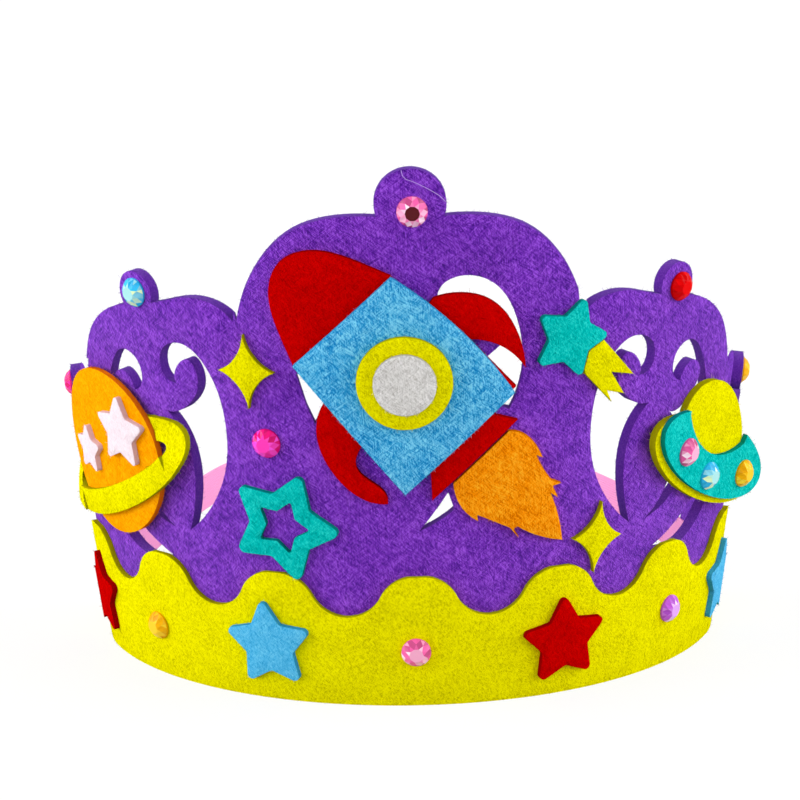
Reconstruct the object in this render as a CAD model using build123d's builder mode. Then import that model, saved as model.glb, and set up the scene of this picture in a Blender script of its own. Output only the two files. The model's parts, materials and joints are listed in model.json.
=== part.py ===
"""Child's felt crown with space shapes, rhinestones and an elastic back strap (millimetres).

The wall is one strip of thick felt bent round the forehead and leaning outwards.  Its plan is a
chain of tangent arcs, so every felt layer is a run of cones that share one lean.  A felt shape is
drawn flat on the plane that touches the wall at its place, pushed through, and kept where it
meets its layer, so it bends with the wall as the real felt does.  The origin is on the table, on
the axis of the front arc, with the front of the crown towards -Y.
"""
import os
from math import cos, degrees, radians, sin, sqrt, tan

from build123d import *

# Plan of the wall's outer face at the table
front_radius = 92.0
side_radius = 44.7
end_radius = 350.0
front_turn = 68.0
side_turn = 100.0
end_run = 18.0
lean = 7.45

# Felt and elastic
wall_thickness = 3.0
felt_thickness = 1.5
clearance = 0.3
push = 32.0

# Outline of the wall: three peaks of different height, with a round knob on each
center_peak_up = 135.8
center_knob_radius = 9.2
center_knob_sunk = 5.8
side_along = 66.0
side_skew = -1.0
side_peak_up = 112.8
side_knob_shift = 3.2
side_knob_radius = 6.2
side_knob_sunk = 6.6
outer_along = 126.7
outer_peak_up = 71.6
outer_knob_radius = 6.0
outer_knob_sunk = 2.0
gap_along = 92.0

# Scalloped base band
scallop_pitch = 37.07
scallop_count = 8
scallop_top = 37.6
scallop_valley = 26.0
scallop_shift = 0.8

# Elastic strap
strap_low = 13.5
strap_width = 10.5
strap_thickness = 1.0
strap_overlap = 14.0
strap_turn = 113.5

# Rhinestones
gem_diameter = 8.0
gem_sides = 12
gem_girdle = 0.5
gem_shoulder_diameter = 5.4
gem_shoulder_up = 2.0
gem_table_diameter = 3.5
gem_table_up = 2.5

# Rocket on the center peak
rocket_drop = 44.2
porthole_ring_radius = 12.5
porthole_radius = 8.2
porthole_across = -2.1
porthole_up = 1.4

# Planet and saucer on the side peaks
planet_along = -87.9
planet_up = 65.4
planet_radius = 23.8
ring_shift = 1.4
ring_drop = 4.2
ring_length = 35.0
ring_height = 12.7
ring_width = 7.6
ring_tilt = 20.0
saucer_along = 80.0
saucer_body_thickness = 2.0
saucer_length = 29.7
saucer_height = 11.0
saucer_lip = 2.0
saucer_tilt = -24.6
saucer_across = 9.2
saucer_up = 60.6

# Small felt shapes
base_star_reach = 13.8
base_star_waist = 7.3
hollow_star_reach = 16.7
hollow_star_waist = 9.4
hollow_star_hole = 0.48
comet_star_reach = 11.8
comet_star_waist = 6.4
sparkle_reach_across = 8.0
sparkle_reach_up = 10.2
sparkle_waist = 3.6


def heading(turn):
    """Unit vector in plan: 0 degrees is the front, and positive turns go to the wearer's left."""
    return Vector(sin(radians(turn)), -cos(radians(turn)), 0)


def mirrored(spot):
    """The same point on the other side of the crown."""
    return Vector(-spot.X, spot.Y, spot.Z)


front_center = Vector(0, 0, 0)
side_center = front_center + heading(front_turn) * (front_radius - side_radius)
end_center = side_center + heading(side_turn) * (side_radius - end_radius)
end_turn = side_turn + degrees(end_run / end_radius)
strap_spot = end_center + heading(strap_turn) * end_radius
strap_radius = strap_spot.X / sin(radians(strap_turn))
strap_center = end_center + heading(strap_turn) * (end_radius - strap_radius)
front_run = front_radius * radians(front_turn)
side_run = side_radius * radians(side_turn - front_turn)

front_span = [(front_center, front_radius, -front_turn, front_turn)]
side_spans = [
    (side_center, side_radius, front_turn, side_turn),
    (mirrored(side_center), side_radius, -side_turn, -front_turn),
]
end_spans = [
    (end_center, end_radius, side_turn, end_turn),
    (mirrored(end_center), end_radius, -end_turn, -side_turn),
]
strap_start = end_turn - degrees(strap_overlap / end_radius)
strap_spans = [
    (end_center, end_radius, strap_start, strap_turn),
    (strap_center, strap_radius, strap_turn, 360 - strap_turn),
    (mirrored(end_center), end_radius, -strap_turn, -strap_start),
]


def wall_spot(along):
    """Arc center, radius and turn at a distance along the base, measured from the front."""
    run = abs(along)
    if run <= front_run:
        center, radius, turn = front_center, front_radius, degrees(run / front_radius)
    elif run <= front_run + side_run:
        center, radius = side_center, side_radius
        turn = front_turn + degrees((run - front_run) / side_radius)
    else:
        center, radius = end_center, end_radius
        turn = side_turn + degrees((run - front_run - side_run) / end_radius)
    if along < 0:
        return mirrored(center), radius, -turn
    return center, radius, turn


def wall_plane(along, up=0.0, proud=0.0, turn_in_plane=0.0):
    """Plane that touches the wall: X runs along it, Y climbs it, Z points outwards."""
    center, radius, turn = wall_spot(along)
    out = heading(turn)
    rise = Vector(0, 0, 1)
    climb = out * sin(radians(lean)) + rise * cos(radians(lean))
    normal = out * cos(radians(lean)) - rise * sin(radians(lean))
    tangent = Vector(cos(radians(turn)), sin(radians(turn)), 0)
    across = tangent * cos(radians(turn_in_plane)) + climb * sin(radians(turn_in_plane))
    return Plane(origin=center + out * radius + climb * up + normal * proud, x_dir=across, z_dir=normal)


def felt_layer(inner, outer, low, high, spans):
    """Leaning layer between two distances from the wall's outer face, along the given arcs."""
    with BuildPart() as layer:
        for center, radius, start, stop in spans:
            out = heading(start)
            section = Plane(origin=center, x_dir=out, z_dir=out.cross(Vector(0, 0, 1)))
            near = radius + inner / cos(radians(lean))
            far = radius + outer / cos(radians(lean))
            slope = tan(radians(lean))
            with BuildSketch(section):
                with BuildLine():
                    Polyline(
                        (near + low * slope, low),
                        (far + low * slope, low),
                        (far + high * slope, high),
                        (near + high * slope, high),
                        close=True,
                    )
                make_face()
            revolve(axis=Axis(center, (0, 0, 1)), revolution_arc=stop - start)
    return layer.part


def star_points(reach, waist, turn=0.0):
    """Corners of a five-pointed star, tips and waists in turn."""
    corners = []
    for step in range(10):
        size = waist if step % 2 else reach
        angle = radians(90 + turn + 36 * step)
        corners.append((size * cos(angle), size * sin(angle)))
    return corners


def keep(builder, name):
    """Label a finished piece and write it."""
    builder.part.label = name
    export_step(builder.part, f"parts/{name}.step")


os.makedirs("parts", exist_ok=True)

center_knob_up = center_peak_up + center_knob_radius - center_knob_sunk
side_knob_up = side_peak_up + side_knob_radius - side_knob_sunk
outer_knob_up = outer_peak_up + outer_knob_radius - outer_knob_sunk
rocket_up = center_peak_up - rocket_drop
blank_height = center_knob_up + center_knob_radius
low_blank_height = outer_knob_up + outer_knob_radius

applique_spans = front_span + side_spans
layer_1 = felt_layer(0, felt_thickness, 0, blank_height, applique_spans)
layer_2 = felt_layer(felt_thickness, 2 * felt_thickness, 0, blank_height, applique_spans)
layer_3 = felt_layer(2 * felt_thickness, 3 * felt_thickness, 0, blank_height, applique_spans)
layer_4 = felt_layer(3 * felt_thickness, 4 * felt_thickness, 0, blank_height, front_span)

# Wall: a tall front strip and lower sides, trimmed to the peaks and pierced
wall_front = felt_layer(-wall_thickness, 0, 0, blank_height, front_span)
wall_sides = felt_layer(-wall_thickness, 0, 0, low_blank_height, side_spans + end_spans)

# Cut-outs of a side peak: the hand, the head's drop, the curl's reach, the head's tuck, root, foot
comma_cuts = ((-1, 0.0, 15.6, 0.0, 3.2, 6.0), (1, -4.0, 17.8, 2.0, 5.6, -0.5))

with BuildPart() as crown_wall:
    add(wall_front)
    add(wall_sides)

    with BuildSketch(wall_plane(0, center_peak_up)) as above_center_peak:
        with BuildLine():
            shoulder = Spline((45.4, -29.6), (38.1, -11.8), (29.9, -3.8), (18.5, 0.0), (0, -1.2))
            mirror(shoulder, about=Plane.YZ)
            Polyline((-45.4, -29.6), (-81, blank_height), (81, blank_height), (45.4, -29.6))
        make_face()
        with Locations((0, center_knob_up - center_peak_up)):
            Circle(center_knob_radius, mode=Mode.SUBTRACT)
    extrude(amount=push, both=True, mode=Mode.SUBTRACT)

    for side in (1, -1):
        with BuildSketch(wall_plane(side * side_along + side_skew, side_peak_up)) as above_side_peak:
            with BuildLine():
                Spline(
                    (side * -28.8, -6.1),
                    (side * -24.8, -2.2),
                    (side * -15.7, 0.0),
                    (side * -4.0, -2.2),
                    (side * 10.5, -4.3),
                    (side * 20.2, -8.0),
                    (side * 28.2, -14.6),
                    (side * 32.9, -22.7),
                    (side * 34.4, -26.8),
                )
                Polyline(
                    (side * 34.4, -26.8),
                    (side * 62, -26.8),
                    (side * 62, blank_height),
                    (side * -61, blank_height),
                    (side * -28.8, -6.1),
                )
            make_face()
            with Locations((side * side_knob_shift, side_knob_up - side_peak_up)):
                Circle(side_knob_radius, mode=Mode.SUBTRACT)
        extrude(amount=push, both=True, mode=Mode.SUBTRACT)

        with BuildSketch(wall_plane(side * gap_along, scallop_top)) as gap_beside_outer_peak:
            with BuildLine():
                Spline(
                    (side * -24.0, -0.6),
                    (side * -16.3, 3.6),
                    (side * -8.0, 9.6),
                    (side * 3.5, 24.4),
                    (side * 7.3, 39.4),
                    (side * 4.5, 52.4),
                )
                Line((side * 4.5, 52.4), (side * 14.0, 52.4))
                Spline(
                    (side * 14.0, 52.4),
                    (side * 13.0, 37.4),
                    (side * 8.5, 17.4),
                    (side * -4.0, 1.4),
                )
                ThreePointArc((side * -4.0, 1.4), (side * -13.0, -2.2), (side * -24.0, -0.6))
            make_face()
        extrude(amount=push / 2, both=True, mode=Mode.SUBTRACT)

        with BuildSketch(wall_plane(side * outer_along, outer_peak_up)) as above_outer_peak:
            with BuildLine():
                Spline(
                    (side * -29.5, -10.5),
                    (side * -18, -3.0),
                    (side * -8, 0.0),
                    (side * 0, -1.0),
                    (side * 8, 0.0),
                    (side * 18, -4.5),
                    (side * 25, -20.5),
                    (side * 30, -30.5),
                )
                Polyline(
                    (side * 30, -30.5),
                    (side * 44, -30.5),
                    (side * 44, blank_height),
                    (side * -29.5, blank_height),
                    (side * -29.5, -10.5),
                )
            make_face()
            with Locations((0, outer_knob_up - outer_peak_up)):
                Circle(outer_knob_radius, mode=Mode.SUBTRACT)
        extrude(amount=push / 2, both=True, mode=Mode.SUBTRACT)

        for hand, drop, curl, tuck, root, foot in comma_cuts:
            with BuildSketch(wall_plane(side * side_along + side_skew, side_peak_up)) as comma_cut:
                with BuildLine():
                    Spline(
                        (side * hand * foot, -66.5),
                        (side * hand * (14.9 - tuck / 2), -58.3),
                        (side * hand * 21.0, -46.8),
                        (side * hand * 22.6, -33.8),
                        (side * hand * 19.6, -20.5 + drop),
                        (side * hand * 11.4, -12.9 + drop),
                        (side * hand * (4.2 + tuck), -15.4 + drop),
                        (side * hand * (3.2 + tuck), -20.8 + drop),
                        (side * hand * (8.0 + tuck / 2), -24.2 + drop),
                    )
                    Spline(
                        (side * hand * (8.0 + tuck / 2), -24.2 + drop),
                        (side * hand * (9.4 + tuck / 2), -19.0 - tuck + drop),
                        (side * hand * (13.0 + tuck / 2), -17.2 - tuck + drop),
                        (side * hand * curl, -21.8 + drop),
                        (side * hand * (curl - 3.6), -29.4 + drop),
                        (side * hand * root, -32.4 + drop),
                    )
                    Spline(
                        (side * hand * root, -32.4 + drop),
                        (side * hand * 9.2, -41.0),
                        (side * hand * 10.2, -50.8),
                        (side * hand * foot, -66.5),
                    )
                make_face()
            extrude(amount=push / 2, both=True, mode=Mode.SUBTRACT)

            with BuildSketch(wall_plane(side * outer_along, outer_peak_up)) as outer_crescent:
                with BuildLine():
                    ThreePointArc((hand * 5.5, -29.6), (hand * 15.0, -19.1), (hand * 8.5, -8.1))
                    ThreePointArc((hand * 8.5, -8.1), (hand * 9.0, -18.6), (hand * 5.5, -29.6))
                make_face()
            extrude(amount=push / 2, both=True, mode=Mode.SUBTRACT)

    with BuildSketch(wall_plane(0, rocket_up)) as holes_beside_rocket:
        with BuildLine():
            Spline(
                (6.6, 22.0),
                (8.2, 26.6),
                (14.6, 28.6),
                (22.1, 25.3),
                (27.4, 15.2),
                (28.7, 3.0),
                (25.2, -8.5),
            )
            Polyline((25.2, -8.5), (18.5, -6.0), (17.5, 4.9), (22.8, 9.2))
            Spline((22.8, 9.2), (25.0, 14.0), (22.4, 18.6), (15.7, 22.3), (6.6, 22.0))
        make_face()
        with BuildLine():
            Polyline((-30.2, 2.0), (-27.6, -6.8), (-25.4, -11.8), (-20.5, -1.1), (-30.2, 2.0))
        make_face()
        with BuildLine():
            Spline((1.2, -41.2), (5.6, -39.0), (10.6, -35.4))
            Line((10.6, -35.4), (9.0, -30.4))
            Spline((9.0, -30.4), (5.2, -36.0), (1.2, -41.2))
        make_face()
    extrude(amount=push / 2, both=True, mode=Mode.SUBTRACT)
keep(crown_wall, "crown_wall")

# Base band: round scallops whose bumps and valleys share one radius
scallop_half = scallop_pitch / 2
scallop_rise = scallop_top - scallop_valley
scallop_radius = (scallop_half**2 + scallop_rise**2) / (4 * scallop_rise)
scallop_high = scallop_top * cos(radians(lean))
band_blank = felt_layer(0, felt_thickness, 0, scallop_high, applique_spans + end_spans)

with BuildPart() as base_band:
    add(band_blank)
    for step in range(scallop_count):
        valley_along = (step - (scallop_count - 1) / 2) * scallop_pitch + scallop_shift
        middle = (scallop_top + scallop_valley) / 2
        with BuildSketch(wall_plane(valley_along)) as valley:
            with BuildLine():
                RadiusArc((-scallop_half, scallop_top), (-scallop_half / 2, middle), scallop_radius)
                RadiusArc((-scallop_half / 2, middle), (0, scallop_valley), -scallop_radius)
                RadiusArc((0, scallop_valley), (scallop_half / 2, middle), -scallop_radius)
                RadiusArc((scallop_half / 2, middle), (scallop_half, scallop_top), scallop_radius)
                Polyline(
                    (scallop_half, scallop_top),
                    (scallop_half, scallop_top + scallop_rise),
                    (-scallop_half, scallop_top + scallop_rise),
                    (-scallop_half, scallop_top),
                )
            make_face()
        extrude(amount=push / 2, both=True, mode=Mode.SUBTRACT)
keep(base_band, "base_band")

# Elastic strap, sewn inside the two ends of the wall and bowed round the back
strap = felt_layer(
    -wall_thickness - strap_thickness, -wall_thickness, strap_low, strap_low + strap_width, strap_spans
)
with BuildPart() as elastic_strap:
    add(strap)
keep(elastic_strap, "elastic_strap")

# Rocket: one red silhouette with a blue panel, a yellow ring and a pale disc on it
panel_top = (-5.2, 29.4)
panel_left = (-30.9, 4.7)
panel_bottom = (-2.3, -29.8)
panel_right = (26.5, -3.2)
panel_bulge = (12.4, 14.8)

with BuildPart() as rocket_silhouette:
    with BuildSketch(wall_plane(0, rocket_up)) as red_shape:
        with BuildLine():
            Polyline((3.0, 16.4), panel_top)
            Spline(
                panel_top,
                (-15.1, 33.6),
                (-25.5, 35.5),
                (-32.8, 32.6),
                (-36.4, 25.9),
                (-35.4, 16.3),
                panel_left,
            )
            Polyline(panel_left, (-22.0, -3.6), (3.0, 16.4))
        make_face()
        with BuildLine():
            Spline((5.5, 23.3), (10.8, 24.3), (19.7, 22.3), (26.5, 14.3), (29.4, 3.0))
            Spline((29.4, 3.0), (21.2, 10.4), (13.6, 12.0))
            Polyline((13.6, 12.0), (-2.0, 12.4), (5.5, 23.3))
        make_face()
        with BuildLine():
            Spline((-23.3, -6.0), (-25.2, -13.1), (-21.3, -24.3), (-10.8, -32.5), (-6.9, -32.8))
            Spline((-6.9, -32.8), (-7.1, -30.5), (-12.6, -25.5), (-14.0, -17.8))
            Polyline((-14.0, -17.8), (-8.0, -5.6), (-22.0, -3.6), (-23.3, -6.0))
        make_face()
        with BuildLine():
            Polyline((20.6, -8.9), (27.3, -11.2), (4.8, -31.9), (4.4, -23.1))
            Polyline((4.4, -23.1), (0, -11.6), (18, -1.6), (20.6, -8.9))
        make_face()
        with BuildLine():
            Polyline((-22, -3.6), (3, 18.4), (14.5, 12.3), (26.9, -1.9))
            Polyline((26.9, -1.9), (18, -9.6), (0, -21.6), (-22, -3.6))
        make_face()
    extrude(amount=push, both=True)
    add(layer_1, mode=Mode.INTERSECT)
keep(rocket_silhouette, "rocket_silhouette")

with BuildPart() as rocket_panel:
    with BuildSketch(wall_plane(0, rocket_up)) as blue_shape:
        with BuildLine():
            ThreePointArc(panel_top, panel_bulge, panel_right)
            Polyline(panel_right, panel_bottom, panel_left, panel_top)
        make_face()
    extrude(amount=push, both=True)
    add(layer_2, mode=Mode.INTERSECT)
keep(rocket_panel, "rocket_panel")

with BuildPart() as porthole_ring:
    with BuildSketch(wall_plane(0, rocket_up)) as ring_shape:
        with Locations((porthole_across, porthole_up)):
            Circle(porthole_ring_radius)
    extrude(amount=push, both=True)
    add(layer_3, mode=Mode.INTERSECT)
keep(porthole_ring, "porthole_ring")

with BuildPart() as porthole_disc:
    with BuildSketch(wall_plane(0, rocket_up)) as disc_shape:
        with Locations((porthole_across, porthole_up)):
            Circle(porthole_radius)
    extrude(amount=push, both=True)
    add(layer_4, mode=Mode.INTERSECT)
keep(porthole_disc, "porthole_disc")

with BuildPart() as flame:
    with BuildSketch(wall_plane(0, rocket_up)) as flame_shape:
        with BuildLine():
            Line((10.3, -27.6), (25.0, -14.1))
            Spline((25.0, -14.1), (28.6, -15.2), (31.4, -17.8), (34.0, -22.6))
            Line((34.0, -22.6), (32.3, -21.7))
            Spline((32.3, -21.7), (34.0, -25.5), (36.4, -29.4))
            Polyline((36.4, -29.4), (39.0, -30.8), (36.8, -31.2), (38.2, -34.6), (36.2, -33.0))
            Spline((36.2, -33.0), (38.2, -39.0), (39.6, -47.2))
            Spline((39.6, -47.2), (34.1, -45.3), (27.2, -41.2))
            Polyline((27.2, -41.2), (26.2, -42.0), (27.6, -44.5), (25.3, -41.4))
            Spline((25.3, -41.4), (20.6, -38.9), (16.6, -36.8))
            Line((16.6, -36.8), (16.8, -38.6))
            Spline((16.8, -38.6), (12.6, -34.6), (10.3, -27.6))
        make_face()
    extrude(amount=push, both=True)
    add(layer_1, mode=Mode.INTERSECT)
keep(flame, "flame")

# Stars and sparkles on the wall
with BuildPart() as hollow_star:
    with BuildSketch(wall_plane(-33.0, 51.3)) as star_outline:
        Polygon(*star_points(hollow_star_reach, hollow_star_waist, -23), align=None)
        fillet(star_outline.vertices(), 1.6)
    with BuildSketch(wall_plane(-33.0, 51.3)) as star_hole:
        hole_reach = hollow_star_reach * hollow_star_hole
        hole_waist = hollow_star_waist * hollow_star_hole
        Polygon(*star_points(hole_reach, hole_waist, -23), align=None)
        fillet(star_hole.vertices(), 0.6)
    extrude(star_outline.sketch, amount=push / 2, both=True)
    extrude(star_hole.sketch, amount=push / 2, both=True, mode=Mode.SUBTRACT)
    add(layer_1, mode=Mode.INTERSECT)
keep(hollow_star, "hollow_star")

with BuildPart() as comet_star:
    with BuildSketch(wall_plane(36.9, 101.9)) as star_outline:
        Polygon(*star_points(comet_star_reach, comet_star_waist, -18), align=None)
        fillet(star_outline.vertices(), 1.2)
    extrude(amount=push / 2, both=True)
    add(layer_1, mode=Mode.INTERSECT)
keep(comet_star, "comet_star")

with BuildPart() as comet_tail:
    with BuildSketch(wall_plane(36.9, 101.9)) as tail_shape:
        with BuildLine():
            Polyline((2.8, -3.3), (9.8, -1.3), (20.4, -12.3), (13.0, -10.7), (17.6, -17.3))
            Polyline((17.6, -17.3), (12.0, -15.7), (13.7, -19.1), (4.8, -10.3), (2.8, -3.3))
        make_face()
        star_gap = clearance / cos(radians(36))
        Polygon(
            *star_points(comet_star_reach + star_gap, comet_star_waist + star_gap, -18),
            align=None,
            mode=Mode.SUBTRACT,
        )
    extrude(amount=push / 2, both=True)
    add(layer_1, mode=Mode.INTERSECT)
keep(comet_tail, "comet_tail")

sparkles = {"sparkle_left": (-39.0, 94.2, 0.0), "sparkle_right": (48.3, 44.5, -3.0)}
for name, (along, up, turn) in sparkles.items():
    with BuildPart() as sparkle:
        with BuildSketch(wall_plane(along, up, turn_in_plane=turn)) as sparkle_shape:
            with BuildLine():
                for over, out in ((1, 1), (-1, 1), (-1, -1), (1, -1)):
                    ThreePointArc(
                        (0, over * sparkle_reach_up),
                        (out * sparkle_waist * 0.8, over * sparkle_waist),
                        (out * sparkle_reach_across, 0),
                    )
            make_face()
        extrude(amount=push / 2, both=True)
        add(layer_1, mode=Mode.INTERSECT)
    keep(sparkle, name)

base_stars = {
    "base_star_red_left": (-3 * scallop_pitch, 17.0, 0.0),
    "base_star_blue_left": (-39.1, 16.7, 4.0),
    "base_star_red_right": (39.8, 16.2, 4.0),
    "base_star_blue_right": (3 * scallop_pitch, 17.0, 0.0),
}
for name, (along, up, turn) in base_stars.items():
    with BuildPart() as base_star:
        with BuildSketch(wall_plane(along, up)) as star_outline:
            Polygon(*star_points(base_star_reach, base_star_waist, turn), align=None)
            fillet(star_outline.vertices(), 1.3)
        extrude(amount=push / 2, both=True)
        add(layer_2, mode=Mode.INTERSECT)
    keep(base_star, name)

# Planet: the ring passes behind the disc above and in front of it below
with BuildPart() as planet_disc:
    with BuildSketch(wall_plane(planet_along, planet_up)):
        Circle(planet_radius)
    extrude(amount=push, both=True)
    add(layer_2, mode=Mode.INTERSECT)
keep(planet_disc, "planet_disc")

planet_stars = {"planet_star_right": (-79.0, 72.9, 11.2), "planet_star_left": (-96.2, 64.7, 8.0)}
for name, (along, up, reach) in planet_stars.items():
    with BuildPart() as planet_star:
        with BuildSketch(wall_plane(along, up)) as star_outline:
            Polygon(*star_points(reach, reach * 0.52, -5), align=None)
            fillet(star_outline.vertices(), 0.9)
        extrude(amount=push / 2, both=True)
        add(layer_3, mode=Mode.INTERSECT)
    keep(planet_star, name)

ring_along = planet_along + ring_shift
ring_up = planet_up - ring_drop
ring_plane = wall_plane(ring_along, ring_up, turn_in_plane=ring_tilt)
ring_cut = planet_radius + clearance
ring_middle = ring_length - ring_width / 2
ring_step = 3 * felt_thickness
bridge_half = (ring_height - ring_width / 2) * sqrt(1 - (ring_cut / ring_middle) ** 2)

ring_halves = []
for half, layer in ((-1, layer_3), (1, layer_1)):
    with BuildPart() as ring_half:
        with BuildSketch(ring_plane):
            Ellipse(ring_length, ring_height)
            Ellipse(ring_length - ring_width, ring_height - ring_width, mode=Mode.SUBTRACT)
            with Locations((0, half * ring_height)):
                Rectangle(2 * (ring_cut + 1), 2 * ring_height, mode=Mode.INTERSECT)
        extrude(amount=push, both=True)
        add(layer, mode=Mode.INTERSECT)
    ring_halves.append(ring_half.part)

ring_bridges = []
for end in (1, -1):
    reach = planet_radius + 6
    spread = 1 + ring_up * sin(radians(lean)) / front_radius
    bridge_along = ring_along + end * reach * cos(radians(ring_tilt)) / spread
    bridge_up = ring_up + end * reach * sin(radians(ring_tilt))
    bridge_plane = wall_plane(bridge_along, bridge_up, turn_in_plane=ring_tilt)
    ramp_plane = Plane(bridge_plane.origin, x_dir=bridge_plane.y_dir, z_dir=bridge_plane.x_dir)
    with BuildPart() as ring_bridge:
        with BuildSketch(ring_plane):
            Ellipse(ring_length, ring_height)
            Ellipse(ring_length - ring_width, ring_height - ring_width, mode=Mode.SUBTRACT)
            with Locations((end * (ring_cut + ring_length / 2), 0)):
                Rectangle(ring_length, 2 * ring_height, mode=Mode.INTERSECT)
        extrude(amount=push, both=True)
        with BuildSketch(ramp_plane, mode=Mode.PRIVATE) as ramp:
            with BuildLine():
                Polyline(
                    (-ring_height, 2 * felt_thickness),
                    (-bridge_half, 2 * felt_thickness),
                    (bridge_half, 0),
                    (ring_height, 0),
                    (ring_height, felt_thickness),
                    (bridge_half, felt_thickness),
                    (-bridge_half, ring_step),
                    (-ring_height, ring_step),
                    close=True,
                )
            make_face()
        extrude(ramp.sketch, amount=ring_length / 2, both=True, mode=Mode.INTERSECT)
    ring_bridges.append(ring_bridge.part)

with BuildPart() as planet_ring:
    for piece in ring_halves + ring_bridges:
        add(piece)
keep(planet_ring, "planet_ring")

# Saucer: stiff flat felt that touches the wall along one line and stands off past it
saucer_plane = wall_plane(saucer_along)
saucer_place = Location((saucer_across, saucer_up), saucer_tilt)
with BuildPart() as saucer_body:
    with BuildSketch(saucer_plane * saucer_place):
        with BuildLine():
            Spline((-20.8, 7.0), (-17.6, 15.2), (-6.0, 20.1), (5.0, 17.1), (15.2, 7.0))
            Line((15.2, 7.0), (-20.8, 7.0))
        make_face()
        with Locations((-saucer_lip * 0.75, -saucer_lip)):
            Ellipse(saucer_length, saucer_height)
    extrude(amount=saucer_body_thickness)
keep(saucer_body, "saucer_body")

with BuildPart() as saucer_rim:
    with BuildSketch(saucer_plane.offset(saucer_body_thickness) * saucer_place):
        Ellipse(saucer_length, saucer_height)
        with BuildLine():
            ThreePointArc((-20.4, 7.2), (-2.6, 0.1), (14.2, 7.2))
            Polyline((14.2, 7.2), (14.2, saucer_height), (-20.4, saucer_height), (-20.4, 7.2))
        make_face(mode=Mode.SUBTRACT)
    extrude(amount=felt_thickness)
keep(saucer_rim, "saucer_rim")

# Rhinestones: flat backs, a girdle and two rings of facets below a small table
saucer_top = saucer_body_thickness + felt_thickness


def saucer_seat(across, up):
    """Plane of a stone on the saucer's teal rim."""
    return Plane(
        origin=saucer_plane.from_local_coords(Vector(across, up, saucer_top)),
        x_dir=saucer_plane.x_dir,
        z_dir=saucer_plane.z_dir,
    )


knob_along = side_along + side_knob_shift * front_radius / (
    front_radius + side_knob_up * sin(radians(lean))
)
gems = {
    "gem_top": wall_plane(0.4, center_knob_up - 1.8),
    "gem_knob_left": wall_plane(side_skew - knob_along, side_knob_up + 0.4),
    "gem_knob_right": wall_plane(side_skew + knob_along + 1.0, side_knob_up - 0.6),
    "gem_outer_left": wall_plane(-outer_along, outer_knob_up + 0.6),
    "gem_outer_right": wall_plane(outer_along, outer_knob_up + 0.6),
    "gem_wall": wall_plane(-35.7, 74.3),
    "gem_band_left": wall_plane(-77.9, 15.1, felt_thickness),
    "gem_band_center": wall_plane(0, 16.1, felt_thickness),
    "gem_band_right": wall_plane(78.1, 17.0, felt_thickness),
    "gem_saucer_left": saucer_seat(-5.6, 64.6),
    "gem_saucer_center": saucer_seat(7.1, 55.2),
    "gem_saucer_right": saucer_seat(26.2, 52.0),
}
for name, seat in gems.items():
    with BuildPart() as gem:
        rings = (
            (0, gem_diameter),
            (gem_girdle, gem_diameter),
            (gem_shoulder_up, gem_shoulder_diameter),
            (gem_table_up, gem_table_diameter),
        )
        for up, across in rings:
            with BuildSketch(seat.offset(up)):
                RegularPolygon(across / 2, gem_sides)
        loft(ruled=True)
    keep(gem, name)
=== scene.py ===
# %% [markdown]
# # A child's felt crown, dressed for the camera
#
# The crown is needle-punched felt: a thick purple wall, a yellow scalloped band and thin cut-out
# shapes glued on in layers, with faceted stones and a pink elastic at the back. The solids already
# have the right outlines, so this lesson gives them what a solid lacks: fibres that lie on the felt,
# fuzz on every cut edge, cut stones, a ribbed elastic and soft studio light.

# %% The frame, and the box that everything has to stay in
import json
from math import cos, sin

import bpy
import numpy as np
from mathutils import Matrix, Vector
from mathutils.bvhtree import BVHTree


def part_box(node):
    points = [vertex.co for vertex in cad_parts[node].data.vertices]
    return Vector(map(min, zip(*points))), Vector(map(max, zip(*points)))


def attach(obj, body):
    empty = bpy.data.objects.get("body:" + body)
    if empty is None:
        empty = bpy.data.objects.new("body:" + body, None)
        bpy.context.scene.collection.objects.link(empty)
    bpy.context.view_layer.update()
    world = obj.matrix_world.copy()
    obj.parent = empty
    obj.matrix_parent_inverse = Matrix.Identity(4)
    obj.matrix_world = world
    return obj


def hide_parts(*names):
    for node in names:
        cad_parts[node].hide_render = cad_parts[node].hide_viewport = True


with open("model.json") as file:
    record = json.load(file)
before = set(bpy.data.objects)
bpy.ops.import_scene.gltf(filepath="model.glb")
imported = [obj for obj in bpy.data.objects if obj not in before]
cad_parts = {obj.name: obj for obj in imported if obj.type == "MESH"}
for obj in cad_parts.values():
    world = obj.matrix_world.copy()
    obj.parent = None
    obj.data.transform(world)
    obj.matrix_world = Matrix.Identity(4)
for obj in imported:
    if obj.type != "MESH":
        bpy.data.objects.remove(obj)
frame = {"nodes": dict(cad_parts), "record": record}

MM = 0.001
scene = bpy.context.scene
nodes = frame["nodes"]
slot_of = {row["node"]: row["material_slot"] for row in frame["record"]["subparts"]}
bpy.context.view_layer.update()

# %% [markdown]
# ## The camera
# The picture was taken from a little above, with a long lens. A camera can be pushed about by hand
# until the picture looks right. Here its place, its focal length and its three turns were worked out
# by lining up the round stones, the scallops and the peaks, so the crown fills the frame as it does in
# the photograph.

# %% Camera
picture_width = 800
focal_pixels = 2332.46
camera_place = Vector((-9.602, -692.915, 211.45)) * MM
pitch, roll, yaw = 0.20880, 0.01705, 0.01072

forward = Vector((cos(pitch) * sin(yaw), cos(pitch) * cos(yaw), -sin(pitch)))
level = Vector((cos(yaw), -sin(yaw), 0))
upright = Vector((sin(pitch) * sin(yaw), sin(pitch) * cos(yaw), cos(pitch)))
across = cos(roll) * level - sin(roll) * upright
above = sin(roll) * level + cos(roll) * upright

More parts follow.
